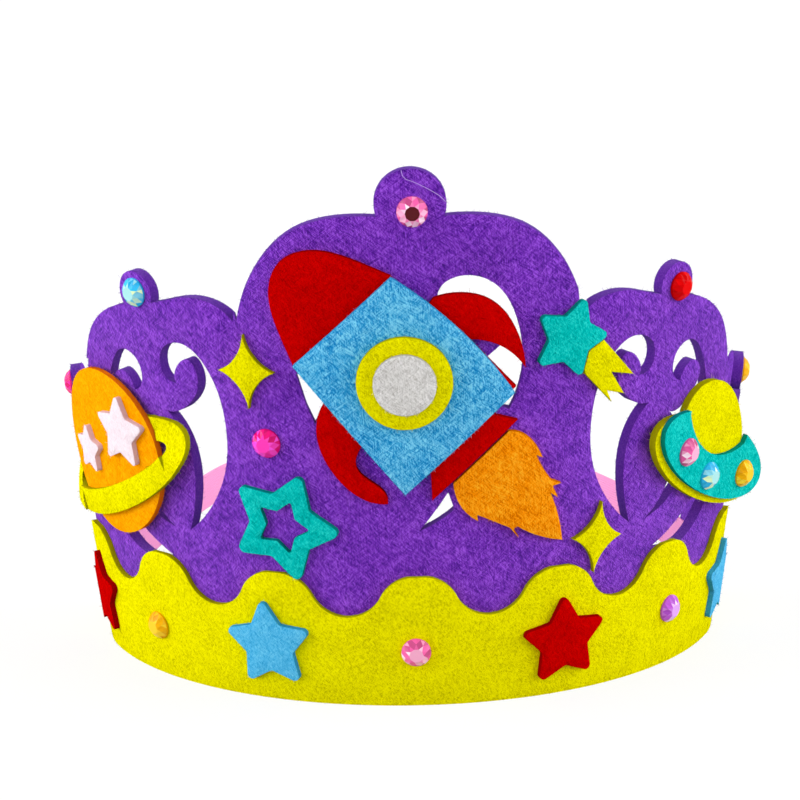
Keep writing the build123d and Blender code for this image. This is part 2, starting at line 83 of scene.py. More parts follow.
lens = bpy.data.cameras.new("camera")
lens.sensor_width = 36
lens.lens = lens.sensor_width * focal_pixels / picture_width
camera = bpy.data.objects.new("camera", lens)
scene.collection.objects.link(camera)
turned = Matrix((across, above, -forward)).transposed().to_4x4()
turned.translation = camera_place
camera.matrix_world = turned
scene.camera = camera
print("lens mm", round(lens.lens, 1))

# %% [markdown]
# ## Colours and nodes
# A colour picker shows sRGB, while shaders work in linear light. So colours are written as sRGB hex,
# and one function turns them to linear. Materials could be wired by hand in the shader editor. In a
# script, one function that adds a node, sets it and links it keeps a material to a few lines.

# %% Colours
def linear(shade):
    """sRGB hex to linear light: the inverse of the sRGB curve in each channel, with full alpha."""
    srgb = np.array([int(shade[start:start + 2], 16) for start in (1, 3, 5)]) / 255
    flat = np.where(srgb <= 0.04045, srgb / 12.92, ((srgb + 0.055) / 1.055) ** 2.4)
    return (*flat, 1.0)


print("middle grey in linear light", round(linear("#808080")[0], 3))

# %% Nodes and materials
def add_node(tree, kind, inputs=None, **settings):
    """One node: settings are its properties, inputs are values or the sockets to link."""
    node = tree.nodes.new("ShaderNode" + kind)
    for key, value in settings.items():
        setattr(node, key, value)
    for key, value in (inputs or {}).items():
        if isinstance(value, bpy.types.NodeSocket):
            tree.links.new(value, node.inputs[key])
        else:
            node.inputs[key].default_value = value
    return node


def new_material(name):
    """A Principled material, with its tree and its shader."""
    material = bpy.data.materials.new(name)
    material.use_nodes = True
    shader = material.node_tree.nodes["Principled BSDF"]
    print("material", name)
    return material, material.node_tree, shader


# %% [markdown]
# ## Studio light
# The crown stands between two large soft boxes, with weaker light from the front and from behind. Area
# lamps would do, but they light a wide floor unevenly. Suns with a wide angle give shadows that are as
# soft, and the same light everywhere.

# %% Lamps
def sun(name, toward, strength, angle):
    """A sun that shines from the given direction and looks as wide as the angle, in radians."""
    lamp = bpy.data.lights.new(name, "SUN")
    lamp.energy = strength
    lamp.angle = angle
    piece = bpy.data.objects.new(name, lamp)
    scene.collection.objects.link(piece)
    piece.rotation_euler = Vector(toward).to_track_quat("Z", "Y").to_euler()
    print("lamp", name, strength)


sun("box_left", (-0.97, -0.12, 0.28), 3.3, 1.0)
sun("box_right", (0.97, -0.12, 0.28), 3.1, 1.0)
sun("front", (-0.15, -1.0, 0.45), 0.75, 0.8)
sun("behind", (0.10, 0.80, 0.70), 0.8, 1.0)

# %% [markdown]
# ## A white background that lights little
# More light would turn a pale floor white, and bleach the felt as well. Light Path offers another way:
# rays that show a surface, from the camera, off a mirror or through glass, meet a white sky and a white
# floor, and the rays that carry light to the felt meet a dimmer sky and grey paper.

# %% Sky
def seen_rays(tree):
    """One for the rays that show a surface, the largest of three flags, and zero for the rest."""
    rays = add_node(tree, "LightPath").outputs
    direct = {0: rays["Is Camera Ray"], 1: rays["Is Glossy Ray"]}
    mirrored = add_node(tree, "Math", direct, operation="MAXIMUM")
    passed = {0: mirrored.outputs[0], 1: rays["Is Transmission Ray"]}
    return add_node(tree, "Math", passed, operation="MAXIMUM").outputs[0]


sky_light = 0.42
sky_seen = 1.0

scene.view_settings.view_transform = "Standard"
world = bpy.data.worlds.new("studio")
scene.world = world
world.use_nodes = True
sky = world.node_tree
backdrop = sky.nodes["Background"]
sky_level = add_node(sky, "MapRange", {0: seen_rays(sky), 3: sky_light, 4: sky_seen})
sky.links.new(sky_level.outputs[0], backdrop.inputs["Strength"])
backdrop.inputs["Color"].default_value = linear("#FFFFFF")
print("sky", sky_light, "as light and", sky_seen, "as background")

# %% Floor
floor_reach = 14.0
floor_light, floor_seen = "#BCBCBC", "#FFFFFF"
glow_share = 0.85

corners = np.array([(-1, -1, 0), (1, -1, 0), (1, 1, 0), (-1, 1, 0)]) * floor_reach
floor_mesh = bpy.data.meshes.new("floor")
floor_mesh.from_pydata(corners.tolist(), [], [(0, 1, 2, 3)])
floor = bpy.data.objects.new("floor", floor_mesh)
scene.collection.objects.link(floor)

# Matt paper that glows a little where it is seen, so that only a faint shadow is left on it
sweep, tree, shader = new_material("white_paper_sweep")
tree.nodes.remove(shader)
seen = seen_rays(tree)
paper = add_node(tree, "MixRGB", {0: seen, 1: linear(floor_light), 2: linear(floor_seen)})
matt = add_node(tree, "BsdfDiffuse", {"Color": paper.outputs[0]})
glow = add_node(tree, "Emission", {"Strength": 1.0})
share = add_node(tree, "Math", {0: seen, 1: glow_share}, operation="MULTIPLY")
mixed = add_node(tree, "MixShader", {0: share.outputs[0], 1: matt.outputs[0], 2: glow.outputs[0]})
tree.links.new(mixed.outputs[0], tree.nodes["Material Output"].inputs["Surface"])
floor_mesh.materials.append(sweep)
print("floor", 2 * floor_reach, "m wide")

# %% [markdown]
# ## Needle-punched felt
# Felt has no weave. Its polyester fibres lie in every direction, a few directions a little stronger,
# and the needles leave a fine mottle. To the eye that is short curved streaks, a bit lighter or darker
# than the felt, on a dull face. A photograph of felt could be wrapped on, but it would repeat. Here the
# streaks are noise, stretched along four directions of the wall's own surface.
#
# First the surface needs coordinates in millimetres. The heading round the crown's axis gives the way
# along the felt, the height gives the way up, and the distance from the axis tells layers apart.

# %% Millimetres on the bent felt
turn_radius = 92.0


def away_from_axis(tree, place):
    """The part of a place that lies across the crown's upright axis: x and y, with no height."""
    return add_node(tree, "VectorMath", {0: place, 1: (1, 1, 0)}, operation="MULTIPLY").outputs[0]


def felt_millimetres(tree, place):
    """Way along, height and depth: the heading times the front's radius, z, and the axis distance."""
    flipped = add_node(tree, "VectorMath", {0: place, 1: (1, -1, 1)}, operation="MULTIPLY")
    axes = add_node(tree, "SeparateXYZ", {0: flipped.outputs[0]}).outputs
    heading = add_node(tree, "Math", {0: axes[0], 1: axes[1]}, operation="ARCTAN2")
    depth = add_node(tree, "VectorMath", {0: away_from_axis(tree, place)}, operation="LENGTH")
    spread = add_node(tree, "CombineXYZ", {0: heading.outputs[0], 1: axes[2], 2: depth.outputs["Value"]})
    scale = {0: spread.outputs[0], 1: (turn_radius, 1 / MM, 1 / MM)}
    return add_node(tree, "VectorMath", scale, operation="MULTIPLY").outputs[0]


print("a quarter turn is", round(turn_radius * np.pi / 2, 1), "mm of felt")

# %% [markdown]
# ## Streaks
# A fibre of felt is about 0.03 mm thick, which no picture of the whole crown could show, so a streak is
# drawn about seven times as wide. A slow noise bends the grid first, because fibres curl. The brightest
# and the darkest of four directions are then added, so that streaks cross each other as fibres do.

# %% Streaks of fibre
streak_wide = 0.20
streak_turns = (2.15, 2.55, 0.80, 1.65)
streak_shift = np.array((17.0, 5.0, 3.0))
curl_size = 6.0
curl_reach = 0.8


def curled(tree, spread):
    """The same millimetres, pushed up to curl_reach each way by a noise as large as curl_size."""
    bend = add_node(tree, "TexNoise", {"Vector": spread, "Scale": 1 / curl_size, "Detail": 1.0})
    middle = {0: bend.outputs["Color"], 1: (0.5, 0.5, 0.5)}
    centered = add_node(tree, "VectorMath", middle, operation="SUBTRACT")
    reach = {0: centered.outputs[0], "Scale": 2 * curl_reach}
    pushed = add_node(tree, "VectorMath", reach, operation="SCALE")
    return add_node(tree, "VectorMath", {0: spread, 1: pushed.outputs[0]}, operation="ADD").outputs[0]


def streaks(tree, spread, streak_long):
    """Largest plus smallest of four noises, each stretched to streak_long in its own direction."""
    grid = curled(tree, spread)
    highest, lowest = 0.0, 1.0
    for number, angle in enumerate(streak_turns):
        laid = add_node(tree, "Mapping", {
            "Vector": grid,
            "Location": tuple(number * streak_shift),
            "Rotation": (0, 0, angle),
            "Scale": (streak_long, streak_wide, streak_wide * 2),
        }, vector_type="TEXTURE")
        noise = {"Vector": laid.outputs[0], "Scale": 1.0, "Detail": 2.0}
        streak = add_node(tree, "TexNoise", noise).outputs["Fac"]
        highest = add_node(tree, "Math", {0: highest, 1: streak}, operation="MAXIMUM").outputs[0]
        lowest = add_node(tree, "Math", {0: lowest, 1: streak}, operation="MINIMUM").outputs[0]
    return add_node(tree, "Math", {0: highest, 1: lowest}, operation="ADD").outputs[0]


print("streak directions", len(streak_turns), "width", streak_wide, "mm")

# %% [markdown]
# ## Mottle, shades and cut edges
# The streaks and a slow mottle together give one level, which picks a shade between the felt's darkest
# and lightest fibres. A cut edge gets a deeper colour: painted shade, for the shadow on the felt's side
# faces. It could be a material of its own on the side faces. Here the true normal finds it: on a cut edge
# the normal points away from the crown's axis only a little.

# %% Level and cut edge
streak_reach = 0.24
mottle_size = 8.0
mottle_low, mottle_high = 0.3, 0.7
mottle_swing = 0.07
# Where the cut edges' painted shade begins and is full, and its largest share
edge_begins, edge_full, edge_shade_share = 0.62, 0.38, 0.8


def felt_level(tree, spread, contrast, streak_long):
    """Streaks between zero and one, plus a mottle, both wider apart with more contrast."""
    reach, swing = streak_reach / contrast, mottle_swing * contrast
    streak_sum = {0: streaks(tree, spread, streak_long), 1: 1 - reach, 2: 1 + reach}
    tone = add_node(tree, "MapRange", streak_sum)
    noise = {"Vector": spread, "Scale": 1 / mottle_size, "Detail": 3.0}
    mottle = add_node(tree, "TexNoise", noise).outputs["Fac"]
    cloud = add_node(tree, "MapRange", {0: mottle, 1: mottle_low, 2: mottle_high, 3: -swing, 4: swing})
    both = {0: tone.outputs[0], 1: cloud.outputs[0]}
    return add_node(tree, "Math", both, operation="ADD").outputs[0]


def cut_edge_shade(tree, place):
    """Painted shade of a cut edge: full where its normal and the way from the axis cross squarely."""
    away = {0: away_from_axis(tree, place)}
    outward = add_node(tree, "VectorMath", away, operation="NORMALIZE").outputs[0]
    facing = add_node(tree, "NewGeometry").outputs["True Normal"]
    dot = add_node(tree, "VectorMath", {0: outward, 1: facing}, operation="DOT_PRODUCT")
    flat = add_node(tree, "Math", {0: dot.outputs["Value"]}, operation="ABSOLUTE")
    limits = {0: flat.outputs[0], 1: edge_begins, 2: edge_full, 3: 0.0, 4: edge_shade_share}
    return add_node(tree, "MapRange", limits).outputs[0]


print("a face counts as cut below", edge_begins, "of full outward")

# %% Felt material
plain_level = 0.5
relief_depth = 0.25 * MM
relief_strength = 0.6


def felt(name, shade, light, dark, edge, contrast, streak_long, sheen=0.0):
    """Felt in one colour: the level goes from dark through shade to light; cut edges take a painted
    shade.
    """
    material, tree, shader = new_material(name)
    place = add_node(tree, "TexCoord").outputs["Object"]
    level = felt_level(tree, felt_millimetres(tree, place), contrast, streak_long)
    below = add_node(tree, "MapRange", {0: level, 1: plain_level, 2: 0.0})
    beyond = add_node(tree, "MapRange", {0: level, 1: plain_level, 2: 1.0})
    deep = add_node(tree, "MixRGB", {0: below.outputs[0], 1: linear(shade), 2: linear(dark)})
    face = add_node(tree, "MixRGB", {0: beyond.outputs[0], 1: deep.outputs[0], 2: linear(light)})
    # Cut edges take a darker colour of their own: painted shade
    colour_with_painted_shade = add_node(tree, "MixRGB", {0: cut_edge_shade(tree, place), 1: face.outputs[0], 2: linear(edge)})
    tree.links.new(colour_with_painted_shade.outputs[0], shader.inputs["Base Color"])
    relief = {"Height": level, "Strength": relief_strength, "Distance": relief_depth}
    tree.links.new(add_node(tree, "Bump", relief).outputs[0], shader.inputs["Normal"])

    # Loose polyester fibres scatter light every way: dull from all sides, with no mirror light
    shader.inputs["Roughness"].default_value = 1.0
    shader.inputs["Specular IOR Level"].default_value = 0.0
    shader.inputs["Sheen Weight"].default_value = sheen
    shader.inputs["Sheen Roughness"].default_value = 0.6
    return material


# %% [markdown]
# ## Ten colours of felt
# One function makes every felt, and each colour brings its shades, its contrast and its streak length
# in millimetres. Ten separate materials would say the same thing ten times. Blue and orange felt show
# clear pale fibres, red felt is nearly plain, and the purple wall alone has a faint pale bloom from
# fibres that stand up.

# %% Felts
# Each row: shade, lightest and darkest streaks, the cut edge's painted shade, contrast, streak length,
# sheen
felts = {
    "purple": felt("purple_felt", "#7024BA", "#A456E4", "#401080", "#521C90", 1.45, 3.0, 0.09),
    "yellow": felt("yellow_felt", "#EAE200", "#FAF400", "#BAB000", "#99940A", 1.25, 1.2),
    "red": felt("red_felt", "#BE0000", "#D80402", "#960000", "#860404", 0.9, 2.4),
    "blue": felt("blue_felt", "#3AACE4", "#86DAF8", "#1078C2", "#1F7CB8", 1.9, 3.0),
    "sky": felt("sky_felt", "#4EB8EA", "#7CD4F6", "#2E98D4", "#2A88C4", 1.2, 1.6),
    "white": felt("white_felt", "#DAD8D6", "#F4F2F0", "#AFABA6", "#9C9893", 1.2, 1.8),
    "orange": felt("orange_felt", "#FF9000", "#FFB828", "#D06400", "#B85400", 1.4, 3.2),
    "amber": felt("amber_felt", "#FFA200", "#FFC014", "#EC7E00", "#DC5A14", 1.1, 1.8),
    "teal": felt("teal_felt", "#00BEB8", "#30DCD2", "#008E88", "#087A70", 1.1, 1.8),
    "pale_pink": felt("pale_pink_felt", "#EDDDE5", "#FBF2F6", "#CFB9C6", "#D4B4C6", 0.6, 1.8),
}
felt_pieces = {
    "purple": ["crown_wall"],
    "yellow": [
        "base_band", "porthole_ring", "comet_tail", "sparkle_left", "sparkle_right", "planet_ring",
        "saucer_body",
    ],
    "red": ["rocket_silhouette", "base_star_red_left", "base_star_red_right"],
    "blue": ["rocket_panel"],
    "sky": ["base_star_blue_left", "base_star_blue_right"],
    "white": ["porthole_disc"],
    "orange": ["flame"],
    "amber": ["planet_disc"],
    "teal": ["hollow_star", "comet_star", "saucer_rim"],
    "pale_pink": ["planet_star_left", "planet_star_right"],
}
print("felt pieces", sum(len(pieces) for pieces in felt_pieces.values()))

# %% [markdown]
# ## Soft cuts
# A blade leaves felt with a slightly rounded edge. It could be rounded in the solids, at the cost of
# faces along every cut. Two modifiers do it here: a solid's mesh is loose triangles, so a Weld joins
# its corners first, and a small Bevel then rounds only the edges that turn sharply.

# %% Felt on the solids
corner_merge = 0.004 * MM
edge_round = 0.28 * MM
sharp_turn = 0.8

for shade, pieces in felt_pieces.items():
    for node in pieces:
        nodes[node].data.materials.clear()
        nodes[node].data.materials.append(felts[shade])
        weld = nodes[node].modifiers.new("joined_corners", "WELD")
        weld.merge_threshold = corner_merge
        bevel = nodes[node].modifiers.new("soft_cut", "BEVEL")
        bevel.width = edge_round
        bevel.segments = 2
        bevel.limit_method = "ANGLE"
        bevel.angle_limit = sharp_turn
    print(shade, "felt on", ", ".join(pieces))

# %% [markdown]
# ## Pieces from arrays
# Blender's operators can build a piece step by step, but arrays are faster and come out the same each
# time. So every added piece is one mesh that is filled from arrays, sits at the origin like the solids
# and rides on the root body. The solids' own triangles say where the felt is, which way it faces and
# where two of its faces meet in a sharp edge, so nothing has to be measured twice.

# %% New pieces
def riding_piece(name, mesh, material):
    """An object at the origin that shows a finished mesh and rides on the root body."""
    mesh.materials.append(material)
    piece = bpy.data.objects.new(name, mesh)
    scene.collection.objects.link(piece)
    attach(piece, "root")
    print(name, "faces", len(mesh.polygons))
    return piece


def mesh_piece(name, spots, faces, material):
    """A smooth piece from an array of points and an array of faces with as many corners each."""
    faces = np.asarray(faces, dtype=np.int32)
    mesh = bpy.data.meshes.new(name)
    mesh.vertices.add(len(spots))
    mesh.vertices.foreach_set("co", np.asarray(spots, dtype=np.float32).ravel())
    mesh.loops.add(faces.size)
    mesh.loops.foreach_set("vertex_index", faces.ravel())
    mesh.polygons.add(len(faces))
    starts = np.arange(0, faces.size, faces.shape[1], dtype=np.int32)
    mesh.polygons.foreach_set("loop_start", starts)
    mesh.update(calc_edges=True)
    mesh.polygons.foreach_set("use_smooth", np.full(len(faces), True))
    return riding_piece(name, mesh, material)


# %% The solids' own triangles
smallest_area = 1e-13


def triangles_of(node):
    """Corners, outward normals and areas of a solid's triangles: half the cross of two sides."""
    mesh = nodes[node].data
    mesh.calc_loop_triangles()
    spots = np.empty(3 * len(mesh.vertices))
    mesh.vertices.foreach_get("co", spots)
    order = np.empty(3 * len(mesh.loop_triangles), dtype=np.int32)
    mesh.loop_triangles.foreach_get("vertices", order)
    corners = spots.reshape(-1, 3)[order].reshape(-1, 3, 3)
    normals = np.cross(corners[:, 1] - corners[:, 0], corners[:, 2] - corners[:, 0])
    doubled = np.linalg.norm(normals, axis=1)
    kept = doubled > smallest_area
    return corners[kept], normals[kept] / doubled[kept, None], doubled[kept] / 2


def tree_of(node):
    """A search tree of a solid's triangles, for rays and nearest points."""
    corners, _, _ = triangles_of(node)
    order = np.arange(corners.size // 3).reshape(-1, 3)
    return BVHTree.FromPolygons(corners.reshape(-1, 3).tolist(), order.tolist())


print("triangles of the wall", len(triangles_of("crown_wall")[0]))

# %% [markdown]
# ## Fibres on the faces
# Loose fibres lie on felt in every direction. Blender's hair could strew them, but hair doesn't leave
# the scene as a mesh. So each fibre gets a root on a face, an aim in its plane and a sideways curl. The
# strands are drawn thicker than real fibres, and a fibre whose tip would leave the felt is dropped.

# %% Lying fibres
lying_per_area = 8.0 / (10 * MM) ** 2
lying_length = (0.8 * MM, 2.4 * MM)
lying_curl = 0.35
broad_facing = 0.6
stray = 0.3 * MM
strand_radius = 0.05 * MM
strand_seat = 0.6
dice = np.random.default_rng(11)


def unit(rows):
    """The same rows, each divided by its length."""
    return rows / np.linalg.norm(rows, axis=-1, keepdims=True)


def lying_strands(node):
    """Fibres strewn evenly: a triangle drawn by area, a root by two cuts of it, an aim by heading."""
    corners, normals, areas = triangles_of(node)
    radial = unit(corners.mean(axis=1) * (1, 1, 0))
    broad = np.abs(np.einsum("ij,ij->i", radial, normals)) > broad_facing
    corners, normals, areas = corners[broad], normals[broad], areas[broad]
    count = int(areas.sum() * lying_per_area)
    picked = dice.choice(len(areas), count, p=areas / areas.sum())
    cuts = np.sort(dice.random((count, 2)), axis=1)
    weights = np.column_stack((cuts[:, 0], cuts[:, 1] - cuts[:, 0], 1 - cuts[:, 1]))
    roots = np.einsum("ij,ijk->ik", weights, corners[picked])
    facing = normals[picked]
    flat = unit(np.cross((0, 0, 1), facing))
    heading = dice.uniform(0, 2 * np.pi, (count, 1))
    aims = np.cos(heading) * flat + np.sin(heading) * np.cross(facing, flat)
    sides = np.cross(facing, aims)
    lengths = dice.uniform(*lying_length, count)
    curls = sides * dice.normal(0, lying_curl, (count, 1))
    tips = roots + (aims + curls) * lengths[:, None]
    body = tree_of(node)
    held = np.array([body.find_nearest(tip)[3] < stray for tip in tips])
    roots = roots + facing * strand_seat * strand_radius
    return roots[held], aims[held], sides[held], lengths[held], curls[held]


print("lying fibres", round(lying_per_area * (10 * MM) ** 2, 1), "to the square centimetre")

# %% [markdown]
# ## Fuzz on the cut edges
# A cut frees short ends of fibre all along the edge. A bumpy material can't break an outline, so the
# fuzz is real strands. An edge is found from the triangles: two of them share both ends of a side and
# turn sharply there. Fuzz then grows outwards from such sides.

# %% Fuzz
fuzz_per_length = 1.5 / MM
fuzz_length = (0.2 * MM, 0.6 * MM)
fuzz_lean = 0.55
fuzz_curl = 0.45
fuzz_root = 0.1 * MM
corner_grid = 0.002 * MM


def sharp_edges(node):
    """Ends of the sides where two triangles turn by more than sharp_turn, and their normals' sum."""
    corners, normals, _ = triangles_of(node)
    grid = np.round(corners.reshape(-1, 3) / corner_grid).astype(np.int64)
    _, owner = np.unique(grid, axis=0, return_inverse=True)
    owner = owner.reshape(-1, 3)
    pairs = np.concatenate([owner[:, (0, 1)], owner[:, (1, 2)], owner[:, (2, 0)]])
    ends = np.concatenate([corners[:, (0, 1)], corners[:, (1, 2)], corners[:, (2, 0)]])
    triangle = np.tile(np.arange(len(corners)), 3)
    keys = np.sort(pairs, axis=1) @ np.array([owner.max() + 1, 1])
    order = np.argsort(keys, kind="stable")
    twins = np.flatnonzero(keys[order][1:] == keys[order][:-1])
    first, second = order[twins], order[twins + 1]
    one, other = normals[triangle[first]], normals[triangle[second]]
    bent = np.einsum("ij,ij->i", one, other) < cos(sharp_turn)
    return ends[first[bent]], one[bent] + other[bent]


def edge_strands(node):
    """Short fibres out of sharp edges: roots drawn by length, aims along the normals' shaken sum."""
    ends, outward = sharp_edges(node)
    spans = np.linalg.norm(ends[:, 1] - ends[:, 0], axis=1)
    count = int(spans.sum() * fuzz_per_length)
    picked = dice.choice(len(spans), count, p=spans / spans.sum())
    mix = dice.random((count, 1))
    roots = ends[picked, 0] * (1 - mix) + ends[picked, 1] * mix
    aims = unit(outward[picked] + dice.normal(0, fuzz_lean, (count, 3)))
    sides = unit(np.cross(aims, dice.normal(0, 1, (count, 3))))
    lengths = dice.uniform(*fuzz_length, count)
    curls = dice.normal(0, fuzz_curl, (count, 3))
    return roots - aims * fuzz_root, aims, sides, lengths, curls


print("sharp sides of the wall", len(sharp_edges("crown_wall")[0]))

# %% [markdown]
# ## Tubes for all the fibres of one colour
# A fibre is a profile carried along a path: a triangle that follows the bent way from root to tip and
# gets smaller. There are thousands, so a tube has few faces, and all the tubes of a colour are worked
# out as one array and become one piece.

# %% Strand pieces
strand_steps = 2
strand_taper = 0.6
floor_gap = 0.05 * MM


def tube_faces():
    """Triangles of one tube with three sides: two ends, and two triangles to each side and step."""
    faces = [(2, 1, 0), tuple(3 * strand_steps + np.arange(3))]
    for step in range(strand_steps):
        for here in range(3):
            low, beside = 3 * step + here, 3 * step + (here + 1) % 3
            faces += [(low, beside, beside + 3), (low, beside + 3, low + 3)]
    return np.array(faces)


def strand_piece(name, batches, material):
    """Tubes along root + aim times the way + curl times the way's square, thinner to the tip."""
    roots, aims, sides, lengths, curls = (np.concatenate(column) for column in zip(*batches))
    steps = np.linspace(0, 1, strand_steps + 1)[None, :, None]
    reach = lengths[:, None, None] * steps
    path = roots[:, None] + aims[:, None] * reach + curls[:, None] * reach * steps
    corner = 2 * np.pi * np.arange(3)[:, None] / 3
    over = np.cross(aims, sides)
    ring = np.cos(corner) * sides[:, None] + np.sin(corner) * over[:, None]
    width = strand_radius * (1 - strand_taper * steps[..., None])
    spots = path[:, :, None] + width * ring[:, None]
    spots[..., 2] = np.maximum(spots[..., 2], floor_gap)
    shift = np.arange(len(roots)) * 3 * (strand_steps + 1)
    faces = tube_faces()[None] + shift[:, None, None]
    return mesh_piece(name, spots.reshape(-1, 3), faces.reshape(-1, 3), material)


# %% Fibres and fuzz on every felt
for shade, pieces in felt_pieces.items():
    batches = []
    for node in pieces:
        batches += [lying_strands(node), edge_strands(node)]
    strand_piece(f"fibres_{shade}", batches, felts[shade])

# %% [markdown]
# ## Cut stones
# The stones are moulded acrylic with a flat, foiled back: a table, a ring of kites and rows of triangles
# down to the girdle. They could be clear, with a mirror behind, but then every glint would depend on
# the room. Under studio light each facet mirrors something else, so each gets its own painted tone
# between a dark and a pale shade of the stone's colour: painted reflections and glints.

# %% Where a stone sits
same_way = 0.999


def seat_of(node):
    """Middle of a stone's back, the way it looks, its radius and height: the back is its largest flat."""
    corners, normals, areas = triangles_of(node)
    alike = (normals @ normals.T > same_way) @ areas
    back = normals[np.argmax(alike)]
    flat = normals @ back > same_way
    middle = np.average(corners[flat].mean(axis=1), axis=0, weights=areas[flat])
    reach = corners.reshape(-1, 3) - middle
    height = (reach @ -back).max()
    aside = reach + np.outer(reach @ -back, back)
    return middle, -back, np.linalg.norm(aside, axis=1).max(), height


def seat_axes(axis):
    """Two directions in a seat's plane: level to the right, and up."""
    right = unit(np.cross((0, 0, 1), axis))
    return right, np.cross(axis, right)


print("top stone mm", round(2 * seat_of("gem_top")[2] / MM, 2), "across")

# %% Foiled acrylic
body_from, body_to = 0.45, 0.55


def gem(name, pale, body, dark, glint=0.1):
    """Foiled acrylic: a facet's painted reflection goes from dark through the body's colour to pale."""
    material, tree, shader = new_material(name)
    # A facet's tone picks its painted reflection: dark, the body's colour or pale
    tone = add_node(tree, "Attribute", attribute_name="facet").outputs["Fac"]
    below = add_node(tree, "MapRange", {0: tone, 1: body_from, 2: 0.0})
    beyond = add_node(tree, "MapRange", {0: tone, 1: body_to, 2: 1.0})
    deep = add_node(tree, "MixRGB", {0: below.outputs[0], 1: linear(body), 2: linear(dark)})
    lit = add_node(tree, "MixRGB", {0: beyond.outputs[0], 1: deep.outputs[0], 2: linear(pale)})
    tree.links.new(lit.outputs[0], shader.inputs["Base Color"])

    # The polished face adds a thin, sharp glint over the foil's colour
    shader.inputs["Roughness"].default_value = 0.15
    shader.inputs["Specular IOR Level"].default_value = glint
    shader.inputs["Coat Weight"].default_value = glint
    shader.inputs["Coat Roughness"].default_value = 0.02
    return material


# Each stone: a pale painted glint, its body colour, a dark painted reflection, and its real gloss
gems = {
    "gem_pink": gem("pink_foiled_acrylic", "#FFE0F0", "#EC5EA4", "#560A16"),
    "gem_sky": gem("sky_foiled_acrylic", "#E4FBC0", "#2CBCF0", "#1488BC"),
    "gem_red": gem("red_foiled_acrylic", "#F00808", "#D00004", "#A00002", 0.02),
    "gem_hot_pink": gem("hot_pink_foiled_acrylic", "#FF50E0", "#EC0078", "#B00050"),
    "gem_gold": gem("gold_foiled_acrylic", "#FFE038", "#F0AC00", "#CC8000", 0.05),
    "gem_violet": gem("violet_foiled_acrylic", "#F4D0FF", "#C45AE0", "#8A30AC"),
}

# %% Facets
kites = 10
girdle_points = 2 * kites
table_from, waist_from, girdle_from = 0, kites, 2 * kites
back_from = girdle_from + girdle_points


def facets():
    """Corners of all the facets, row by row: table, stars, kites, two half rows, girdle and back."""
    here = np.arange(kites)
    after, before = (here + 1) % kites, (here - 1) % kites
    table, waist = table_from + here, waist_from + here
    start, half, end = girdle_from + 2 * here, girdle_from + 2 * here + 1, girdle_from + 2 * after
    rim = np.arange(girdle_points)
    beside = (rim + 1) % girdle_points
    rows = [
        np.column_stack((table, waist, table_from + after)),
        np.column_stack((table, waist_from + before, start, waist)),
        np.column_stack((waist, start, half)),
        np.column_stack((waist, half, end)),
        np.column_stack((girdle_from + rim, back_from + rim, back_from + beside, girdle_from + beside)),
    ]
    faces = [table.tolist()]
    for row in rows:
        faces += row.tolist()
    return faces + [(back_from + rim[::-1]).tolist()]


print("facets of a stone", len(facets()))

# %% Tones of the facets
# Mean tones of the facets' painted reflections, row by row, and how they swing and spread
star_tone, kite_tone, half_tone, end_tone = 0.7, 0.55, 0.45, 0.5
kite_swing, end_swing = 0.25, 0.1
tone_spread, darkest_tone = 0.22, 0.25
girdle_tone, back_tone = 0.4, 0.2


def facet_reflection_tones(table_reflection_tone):
    """Painted reflections, random about a mean per row of facets, darker on kites and ends that look up.
    """
    rise = np.sin(2 * np.pi * np.arange(kites) / kites)
    level = np.zeros(kites)
    means = np.column_stack((
        star_tone + level,
        kite_tone - kite_swing * rise,
        half_tone + level,
        end_tone - end_swing * rise,
    ))
    drawn = np.clip(dice.normal(means, tone_spread), darkest_tone, 1)
    rim = np.full(girdle_points, girdle_tone)
    return np.concatenate(([table_reflection_tone], drawn.T.ravel(), rim, [back_tone]))


print("mean tones", star_tone, kite_tone, half_tone, end_tone)

# %% Stones in their seats
table_share = 0.48
waist_share, waist_up = 0.77, 0.70
girdle_up = 0.22
# The table's painted reflection: dark on the top stone, pale on the others
pale_table_reflection, dark_table_reflection = 0.75, 0.0


def stone_ring(seat, share, rise, count, shift=0.0):
    """Points on a circle round a seat's axis: a share of the radius out, a share of the height up."""
    middle, axis, radius, height = seat
    right, up = seat_axes(axis)
    angles = 2 * np.pi * (np.arange(count)[:, None] + shift) / count
    return middle + radius * share * (np.cos(angles) * right + np.sin(angles) * up) + rise * height * axis


def stone(node, material, table_reflection_tone):
    """A cut stone in the place of one solid: four rings from the table down to the flat back."""
    seat = seat_of(node)
    spots = np.concatenate([
        stone_ring(seat, table_share, 1, kites),
        stone_ring(seat, waist_share, waist_up, kites, 0.5),
        stone_ring(seat, 1, girdle_up, girdle_points),
        stone_ring(seat, 1, 0, girdle_points),
    ])
    mesh = bpy.data.meshes.new(node + "_cut")
    mesh.from_pydata(spots.tolist(), [], facets())
    # One tone a facet: its painted reflection
    facet = mesh.attributes.new("facet", "FLOAT", "FACE")
    facet.data.foreach_set("value", facet_reflection_tones(table_reflection_tone))
    piece = riding_piece(node + "_cut", mesh, material)
    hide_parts(node)


stones = [node for node in nodes if slot_of[node] in gems]
for node in stones:
    stone(node, gems[slot_of[node]], dark_table_reflection if node == "gem_top" else pale_table_reflection)
print("stones", len(stones))

# %% [markdown]
# ## The elastic's path
# The elastic is narrow and knitted, fixed inside the wall's two ends. Its path could be typed in again,
# but the solid strap already has its path, its lean and its gauge, and rays measure them: from a hub
# inside the crown, at two heights, each heading gives the strap's inner and outer face. Seen from the
# front, the left part sits a little higher, so that stretch is raised in one soft arch.

